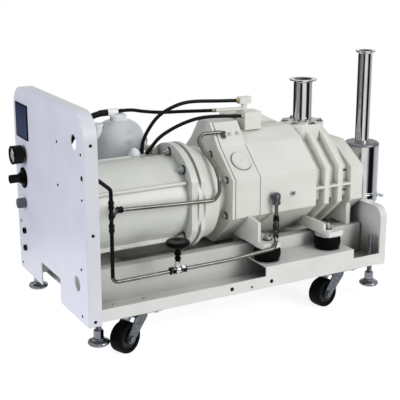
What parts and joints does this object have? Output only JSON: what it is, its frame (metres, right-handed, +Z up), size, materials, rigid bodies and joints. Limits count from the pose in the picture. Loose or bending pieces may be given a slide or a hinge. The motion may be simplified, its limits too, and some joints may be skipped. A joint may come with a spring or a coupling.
{
  "type": "dry screw vacuum pump",
  "caption": "Motor-driven dry screw vacuum pump on a wheeled sheet-steel frame with a control panel, coolant tank, clamp-flange inlet and upright exhaust silencer.",
  "frame": {"origin": "middle of the bounding box on the floor", "axes": "+X from the front panel to the exhaust end, +Y to the rear long side, +Z up"},
  "size_m": [1.005, 0.493, 0.644],
  "materials": {
    "panel_paint": "satin",
    "body_paint": "satin",
    "stainless": "polished",
    "steel": "satin",
    "zinc": "satin",
    "rubber": "matt",
    "hose_rubber": "satin",
    "black_plastic": "matt",
    "grey_plastic": "satin",
    "display": "gloss",
    "tank_paint": "satin",
    "brass": "satin",
    "aluminium": "satin"
  },
  "bodies": {
    "pump": {"front_panel": "panel_paint", "end_plate": "body_paint", "base_rail_front": "body_paint", "base_rail_rear": "body_paint", "cross_members": "body_paint", "mount_boxes": "body_paint", "caster_plates": "zinc", "fasteners": "steel", "rubber_mounts": "rubber", "pump_feet": "body_paint", "motor_housing": "body_paint", "motor_end_shield": "body_paint", "motor_stator": "steel", "terminal_box": "body_paint", "coupling_housing": "body_paint", "front_bearing_plate": "body_paint", "gear_case": "body_paint", "rotor_casing": "body_paint", "end_cover": "body_paint", "shaft_bearings": "steel", "inlet_nozzle": "stainless", "exhaust_silencer": "stainless", "discharge_pipe": "stainless", "coolant_tank": "tank_paint", "tank_fittings": "aluminium", "hose_return": "hose_rubber", "hose_supply": "hose_rubber", "hose_upper": "hose_rubber", "hose_lower": "hose_rubber", "manifold": "aluminium", "lower_tube": "stainless", "upper_tube": "stainless", "tube_fittings": "steel", "flow_valve_body": "steel", "display_unit": "display", "gauge_body": "black_plastic", "regulator_body": "black_plastic", "panel_ports": "brass"},
    "flow_valve_knob": {"flow_valve_handle": "black_plastic"},
    "needle": {"gauge_needle": "black_plastic"},
    "regulator_grip": {"regulator_knob": "black_plastic"},
    "bypass_grip": {"bypass_knob": "grey_plastic"},
    "drive_train": {"motor_rotor": "steel", "shaft_coupling": "aluminium", "drive_rotor": "steel", "drive_gear": "steel"},
    "driven_train": {"driven_rotor": "steel", "driven_gear": "steel"},
    "caster_fork_front_near": {"caster_fork_front_near": "zinc"},
    "caster_wheel_front_near": {"caster_wheel_front_near": "rubber"},
    "levelling_foot_front_near": {"levelling_foot_front_near": "steel"},
    "caster_fork_rear_near": {"caster_fork_rear_near": "zinc"},
    "caster_wheel_rear_near": {"caster_wheel_rear_near": "rubber"},
    "levelling_foot_rear_near": {"levelling_foot_rear_near": "steel"},
    "caster_fork_front_far": {"caster_fork_front_far": "zinc"},
    "caster_wheel_front_far": {"caster_wheel_front_far": "rubber"},
    "levelling_foot_front_far": {"levelling_foot_front_far": "steel"},
    "caster_fork_rear_far": {"caster_fork_rear_far": "zinc"},
    "caster_wheel_rear_far": {"caster_wheel_rear_far": "rubber"},
    "levelling_foot_rear_far": {"levelling_foot_rear_far": "steel"}
  },
  "joints": [
    {"name": "drive_spin", "type": "hinge", "parent": "pump", "child": "drive_train", "pos_m": [0.0355, -0.0255, 0.313], "axis": [1, 0, 0], "continuous": true},
    {"name": "driven_spin", "type": "hinge", "parent": "pump", "child": "driven_train", "pos_m": [0.0355, 0.0465, 0.313], "axis": [1, 0, 0], "continuous": true},
    {"name": "needle_swing", "type": "hinge", "parent": "pump", "child": "needle", "pos_m": [-0.4975, 0.1775, 0.415], "axis": [1, 0, 0], "range_deg": [0, 270]},
    {"name": "regulator_turn", "type": "hinge", "parent": "pump", "child": "regulator_grip", "pos_m": [-0.5025, 0.1885, 0.35], "axis": [1, 0, 0], "range_deg": [-720, 720]},
    {"name": "bypass_turn", "type": "hinge", "parent": "pump", "child": "bypass_grip", "pos_m": [-0.4855, 0.1865, 0.284], "axis": [1, 0, 0], "range_deg": [-720, 720]},
    {"name": "flow_valve_turn", "type": "hinge", "parent": "pump", "child": "flow_valve_knob", "pos_m": [-0.2325, -0.2175, 0.212], "axis": [0, 0, 1], "range_deg": [-720, 720]},
    {"name": "swivel_front_near", "type": "hinge", "parent": "pump", "child": "caster_fork_front_near", "pos_m": [-0.3275, -0.1795, 0.09], "axis": [0, 0, 1], "continuous": true},
    {"name": "roll_front_near", "type": "hinge", "parent": "caster_fork_front_near", "child": "caster_wheel_front_near", "pos_m": [-0.36221, -0.19496, 0.0375], "axis": [-0.4067, 0.9135, 0], "continuous": true},
    {"name": "level_front_near", "type": "slide", "parent": "pump", "child": "levelling_foot_front_near", "axis": [0, 0, 1], "range_m": [-0.045, 0.01]},
    {"name": "swivel_rear_near", "type": "hinge", "parent": "pump", "child": "caster_fork_rear_near", "pos_m": [0.2515, -0.1795, 0.09], "axis": [0, 0, 1], "continuous": true},
    {"name": "roll_rear_near", "type": "hinge", "parent": "caster_fork_rear_near", "child": "caster_wheel_rear_near", "pos_m": [0.21433, -0.1874, 0.0375], "axis": [-0.2079, 0.9781, 0], "continuous": true},
    {"name": "level_rear_near", "type": "slide", "parent": "pump", "child": "levelling_foot_rear_near", "axis": [0, 0, 1], "range_m": [-0.045, 0.01]},
    {"name": "swivel_front_far", "type": "hinge", "parent": "pump", "child": "caster_fork_front_far", "pos_m": [-0.3275, 0.2005, 0.09], "axis": [0, 0, 1], "continuous": true},
    {"name": "roll_front_far", "type": "hinge", "parent": "caster_fork_front_far", "child": "caster_wheel_front_far", "pos_m": [-0.29227, 0.21474, 0.0375], "axis": [0.3746, -0.9272, 0], "continuous": true},
    {"name": "level_front_far", "type": "slide", "parent": "pump", "child": "levelling_foot_front_far", "axis": [0, 0, 1], "range_m": [-0.045, 0.01]},
    {"name": "swivel_rear_far", "type": "hinge", "parent": "pump", "child": "caster_fork_rear_far", "pos_m": [0.2515, 0.2005, 0.09], "axis": [0, 0, 1], "continuous": true},
    {"name": "roll_rear_far", "type": "hinge", "parent": "caster_fork_rear_far", "child": "caster_wheel_rear_far", "pos_m": [0.21433, 0.2084, 0.0375], "axis": [0.2079, 0.9781, 0], "continuous": true},
    {"name": "level_rear_far", "type": "slide", "parent": "pump", "child": "levelling_foot_rear_far", "axis": [0, 0, 1], "range_m": [-0.045, 0.01]}
  ],
  "couplings": [
    {"joint": "driven_spin", "follows": "drive_spin", "ratio": -1}
  ]
}
